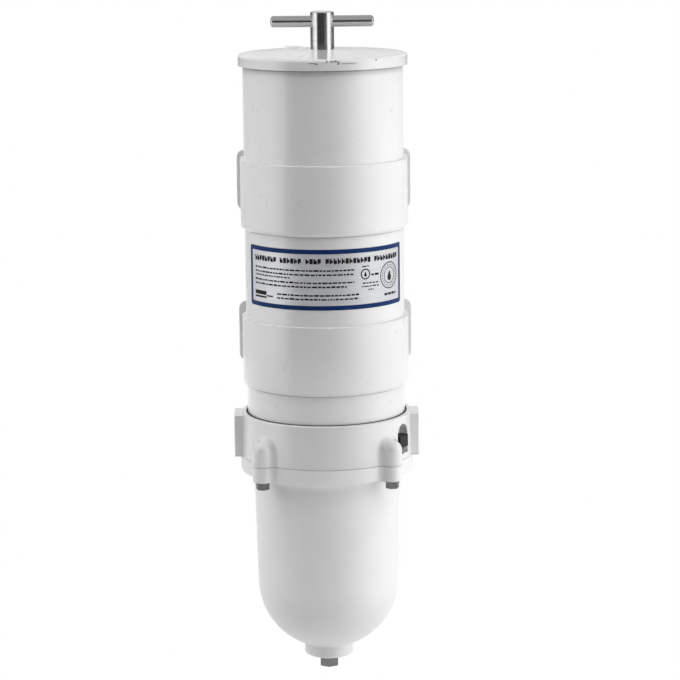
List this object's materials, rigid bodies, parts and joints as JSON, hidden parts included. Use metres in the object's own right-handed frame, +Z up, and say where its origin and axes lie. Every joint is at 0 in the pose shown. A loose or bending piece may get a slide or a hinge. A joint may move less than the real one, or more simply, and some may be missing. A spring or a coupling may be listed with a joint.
{
  "type": "fuel water separator",
  "caption": "Tall marine fuel filter and water separator: white tube with straps and rear feet, cast head with side ports, metal bowl with drain, and a screw T-handle lid.",
  "frame": {"origin": "centre of the four mounting holes, on the back face of the feet", "axes": "+Z up along the filter's axis; +Y into the bulkhead, normal to the feet; +X towards the outlet port, to the right as seen from the front"},
  "size_m": [0.1554, 0.1606, 0.5588],
  "materials": {
    "enamel": "gloss white enamel",
    "bowl_enamel": "satin white enamel",
    "label_foil": "brushed printed foil with a blue border",
    "polished_steel": "polished stainless steel",
    "dark_zinc": "dark zinc plate",
    "zinc_steel": "zinc-plated steel",
    "black_steel": "satin black",
    "black_rubber": "matt black rubber",
    "brass": "machined brass",
    "ball_steel": "bright steel",
    "element_caps": "satin dark grey",
    "pleated_paper": "resin-treated pleated paper",
    "moulded_plastic": "moulded dark plastic"
  },
  "bodies": {
    "housing": {"upper_housing": "enamel", "upper_band": "enamel", "lower_band": "enamel", "upper_bracket": "enamel", "lower_bracket": "enamel", "label": "label_foil", "housing_ring": "black_rubber", "housing_screws": "zinc_steel", "head": "enamel", "port_plug": "black_steel", "check_seat": "brass", "check_cap": "brass", "return_tube": "zinc_steel", "element_top_cap": "element_caps", "element_bottom_cap": "element_caps", "element_media": "pleated_paper", "element_core": "zinc_steel", "element_top_grommet": "black_rubber", "element_bottom_grommet": "black_rubber", "turbine": "moulded_plastic", "baffle_cone": "moulded_plastic", "turbine_bolt": "zinc_steel", "bowl_gasket": "black_rubber", "bowl": "bowl_enamel", "bowl_bolts": "dark_zinc", "bowl_washers": "dark_zinc"},
    "lid_body": {"lid": "enamel", "lid_gasket": "black_rubber"},
    "seal_carrier": {"t_handle_seal": "black_rubber"},
    "t_handle": {"t_handle_stem": "polished_steel", "t_handle_bar": "polished_steel"},
    "bail": {"element_bail": "ball_steel"},
    "valve_ball": {"check_ball": "ball_steel"},
    "drain_carrier": {"drain_seal": "black_rubber"},
    "drain": {"drain_plug": "zinc_steel"}
  },
  "joints": [
    {"name": "lid_lift", "type": "slide", "parent": "housing", "child": "lid_body", "axis": [0, 0, 1], "range_m": [0, 0.08]},
    {"name": "t_handle_rise", "type": "slide", "parent": "lid_body", "child": "seal_carrier", "axis": [0, 0, 1], "range_m": [0, 0.01412]},
    {"name": "t_handle_turn", "type": "hinge", "parent": "seal_carrier", "child": "t_handle", "pos_m": [0, -0.088, 0.2], "axis": [0, 0, 1], "range_deg": [0, 3600]},
    {"name": "bail_swing", "type": "hinge", "parent": "housing", "child": "bail", "pos_m": [0, -0.088, 0.14], "axis": [-1, 0, 0], "range_deg": [0, 60]},
    {"name": "check_ball_lift", "type": "slide", "parent": "housing", "child": "valve_ball", "axis": [0, 0, 1], "range_m": [0, 0.0023]},
    {"name": "drain_drop", "type": "slide", "parent": "housing", "child": "drain_carrier", "axis": [0, 0, -1], "range_m": [0, 0.0089]},
    {"name": "drain_turn", "type": "hinge", "parent": "drain_carrier", "child": "drain", "pos_m": [0, -0.088, -0.338], "axis": [0, 0, -1], "range_deg": [0, 2520]}
  ],
  "couplings": [
    {"joint": "t_handle_rise", "follows": "t_handle_turn", "m_per_rad": 0.00022459},
    {"joint": "drain_drop", "follows": "drain_turn", "m_per_rad": 0.00020213}
  ]
}
